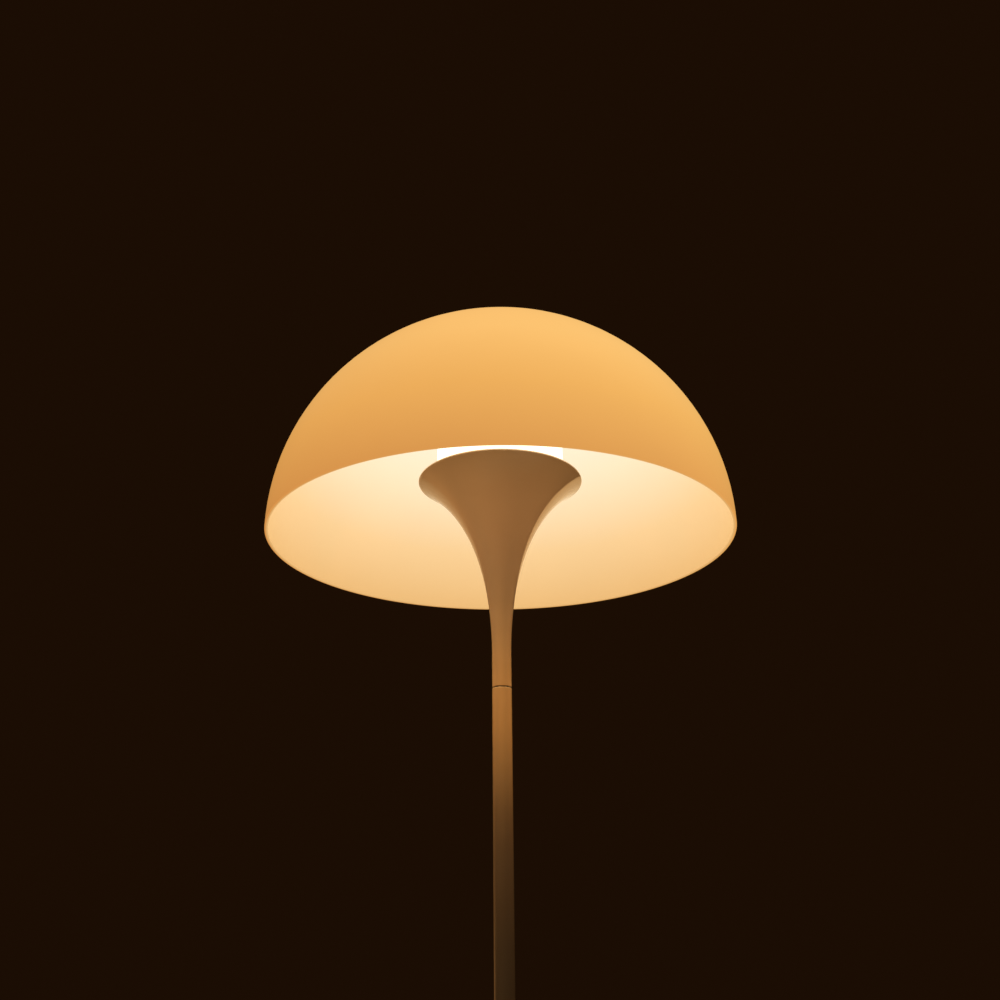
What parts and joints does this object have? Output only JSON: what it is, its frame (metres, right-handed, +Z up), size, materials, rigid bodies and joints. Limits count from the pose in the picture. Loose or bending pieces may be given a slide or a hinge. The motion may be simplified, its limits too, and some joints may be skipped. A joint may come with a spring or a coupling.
{
  "type": "floor lamp",
  "caption": "Floor lamp: an opal dome shade lifts off an opal drum in the mouth of a flared trumpet, on a thin stem with a weighted foot and a foot switch.",
  "frame": {"origin": "on the floor under the middle of the foot", "axes": "+Z up along the stem, +Y to the rear, where the lead goes in"},
  "size_m": [0.4, 0.4, 1.3073],
  "materials": {
    "white_paint": "gloss white lacquer",
    "opal_shade": "opal white acrylic, glowing when lit",
    "opal_drum": "opal white acrylic, glowing when lit",
    "white_plastic": "moulded, satin",
    "opal_globe": "opal bulb globe, glowing when lit",
    "black_plastic": "moulded, fine texture",
    "black_rubber": "matte",
    "lead_jacket": "white flexible jacket",
    "iron_weight": "as cast, black paint",
    "plate_steel": "zinc plated sheet",
    "zinc_steel": "zinc plated, turned",
    "spring_steel": "drawn wire",
    "brass": "bright",
    "porcelain": "unglazed white",
    "nickel": "nickel plated",
    "board": "white-faced board",
    "light_chip": "phosphor, glowing when lit",
    "conductor": "insulated conductors"
  },
  "bodies": {
    "stand": {"foot_shell": "white_paint", "stem_tube": "white_paint", "trumpet": "white_paint", "diffuser_drum": "opal_drum", "holder_skirt": "white_plastic", "holder_cap": "white_plastic", "clamp_ring": "white_plastic", "cord_clamp": "white_plastic", "switch_bezel": "white_plastic", "cable_gland": "white_plastic", "gland_nut": "white_plastic", "switch_housing": "black_plastic", "foot_pads": "black_rubber", "inlet_lead": "lead_jacket", "stem_lead": "lead_jacket", "ballast_weight": "iron_weight", "base_plate": "plate_steel", "carrier_plate": "plate_steel", "base_screws": "zinc_steel", "ballast_screws": "zinc_steel", "clamp_screws": "zinc_steel", "carrier_screws": "zinc_steel", "drum_screws": "zinc_steel", "terminal_screws": "zinc_steel", "lower_coupler": "zinc_steel", "upper_coupler": "zinc_steel", "coupler_washer": "zinc_steel", "coupler_nut": "zinc_steel", "holder_nipple": "zinc_steel", "holder_nut": "zinc_steel", "switch_spring": "spring_steel", "contact_shell": "brass", "centre_contact": "brass", "switch_contacts": "brass", "holder_core": "porcelain", "holder_wires": "conductor"},
    "shade": {"dome_shade": "opal_shade", "shade_collar": "white_plastic"},
    "bulb": {"bulb_tip": "nickel", "bulb_insulator": "black_plastic", "bulb_screw_cap": "nickel", "bulb_housing": "white_plastic", "bulb_globe": "opal_globe", "bulb_led_board": "board", "bulb_leds": "light_chip"},
    "switch_button": {"foot_button": "white_plastic"}
  },
  "joints": [
    {"name": "shade_lift", "type": "slide", "parent": "stand", "child": "shade", "axis": [0, 0, 1], "range_m": [0, 0.2]},
    {"name": "bulb_lift", "type": "slide", "parent": "stand", "child": "bulb", "axis": [0, 0, 1], "range_m": [0, 0.03]},
    {"name": "button_press", "type": "slide", "parent": "stand", "child": "switch_button", "axis": [0, 0, -1], "range_m": [0, 0.003], "stiffness_N_per_m": 2000, "springref_m": -0.002, "deforming": ["switch_spring"]}
  ]
}
